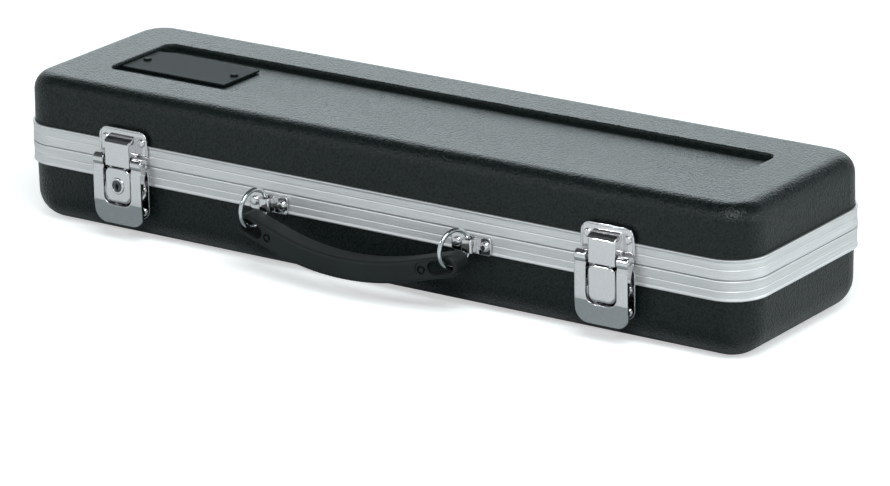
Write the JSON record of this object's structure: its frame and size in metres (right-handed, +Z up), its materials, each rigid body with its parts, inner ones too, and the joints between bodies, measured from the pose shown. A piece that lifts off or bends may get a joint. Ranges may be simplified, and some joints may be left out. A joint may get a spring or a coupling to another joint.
{
  "type": "flute case",
  "caption": "Hard-shell flute case: hinged lid, aluminium valances, two draw latches, one with a lock, lined channels and a bowed handle on rings.",
  "frame": {"origin": "middle of the case's footprint on the surface that it stands on", "axes": "+X along the case to the right seen from the latches, +Y to the hinged back, +Z up"},
  "size_m": [0.44, 0.1463, 0.0781],
  "materials": {
    "moulded_abs": "pebbled",
    "aluminium": "brushed and anodised",
    "plush": "plush pile",
    "badge": "satin",
    "black_rivet": "satin",
    "handle_plastic": "satin",
    "chrome": "bright nickel plate",
    "steel": "zinc plate",
    "lock_steel": "nickel plate"
  },
  "bodies": {
    "base": {"base_shell": "moulded_abs", "base_valance": "aluminium", "base_lining": "plush", "latch_body_left": "chrome", "latch_body_right": "chrome", "latch_rivets": "chrome", "saddle_left": "chrome", "saddle_right": "chrome", "saddle_screws": "chrome", "lock_bezel": "chrome", "hinge_base_leaf_left": "chrome", "hinge_base_leaf_right": "chrome", "hinge_base_rivets": "chrome", "hinge_pins": "steel"},
    "lid": {"lid_shell": "moulded_abs", "lid_valance": "aluminium", "lid_lining": "plush", "badge_plate": "badge", "badge_rivets": "black_rivet", "keeper_left": "chrome", "keeper_right": "chrome", "keeper_rivets": "chrome", "hinge_lid_leaf_left": "chrome", "hinge_lid_leaf_right": "chrome", "hinge_lid_rivets": "chrome"},
    "left_lever": {"lever_left": "chrome", "lever_shaft_left": "steel"},
    "right_lever": {"lever_right": "chrome", "lever_shaft_right": "steel"},
    "left_hook": {"hook_left": "steel"},
    "right_hook": {"hook_right": "steel"},
    "lock": {"lock_plug": "lock_steel", "lock_cam": "steel"},
    "carrying_handle": {"handle": "handle_plastic"},
    "left_ring": {"ring_left": "chrome"},
    "right_ring": {"ring_right": "chrome"}
  },
  "joints": [
    {"name": "lid_hinge", "type": "hinge", "parent": "base", "child": "lid", "pos_m": [0, 0.06185, 0.042], "axis": [-1, 0, 0], "range_deg": [0, 105]},
    {"name": "left_lever_swing", "type": "hinge", "parent": "base", "child": "left_lever", "pos_m": [-0.1496, -0.06355, 0.0433], "axis": [-1, 0, 0], "range_deg": [0, 100]},
    {"name": "right_lever_swing", "type": "hinge", "parent": "base", "child": "right_lever", "pos_m": [0.1431, -0.06355, 0.0433], "axis": [-1, 0, 0], "range_deg": [0, 100]},
    {"name": "left_hook_lift", "type": "slide", "parent": "base", "child": "left_hook", "axis": [0, 0, 1], "range_m": [0, 0.00184]},
    {"name": "right_hook_lift", "type": "slide", "parent": "base", "child": "right_hook", "axis": [0, 0, 1], "range_m": [0, 0.00184]},
    {"name": "lock_turn", "type": "hinge", "parent": "base", "child": "lock", "pos_m": [-0.1496, -0.06645, 0.031], "axis": [0, 1, 0], "range_deg": [0, 90]},
    {"name": "handle_swing", "type": "hinge", "parent": "base", "child": "carrying_handle", "pos_m": [0.0003, -0.07135, 0.036], "axis": [-1, 0, 0], "range_deg": [-8, 100]},
    {"name": "left_ring_swing", "type": "hinge", "parent": "base", "child": "left_ring", "pos_m": [-0.0584, -0.06175, 0.036], "axis": [0, 0, 1], "range_deg": [-2.5, 2.5]},
    {"name": "right_ring_swing", "type": "hinge", "parent": "base", "child": "right_ring", "pos_m": [0.064, -0.06175, 0.036], "axis": [0, 0, 1], "range_deg": [-2.5, 2.5]}
  ],
  "couplings": [
    {"joint": "left_hook_lift", "follows": "left_lever_swing", "m_per_rad": 0.0010534},
    {"joint": "right_hook_lift", "follows": "right_lever_swing", "m_per_rad": 0.0010534}
  ]
}
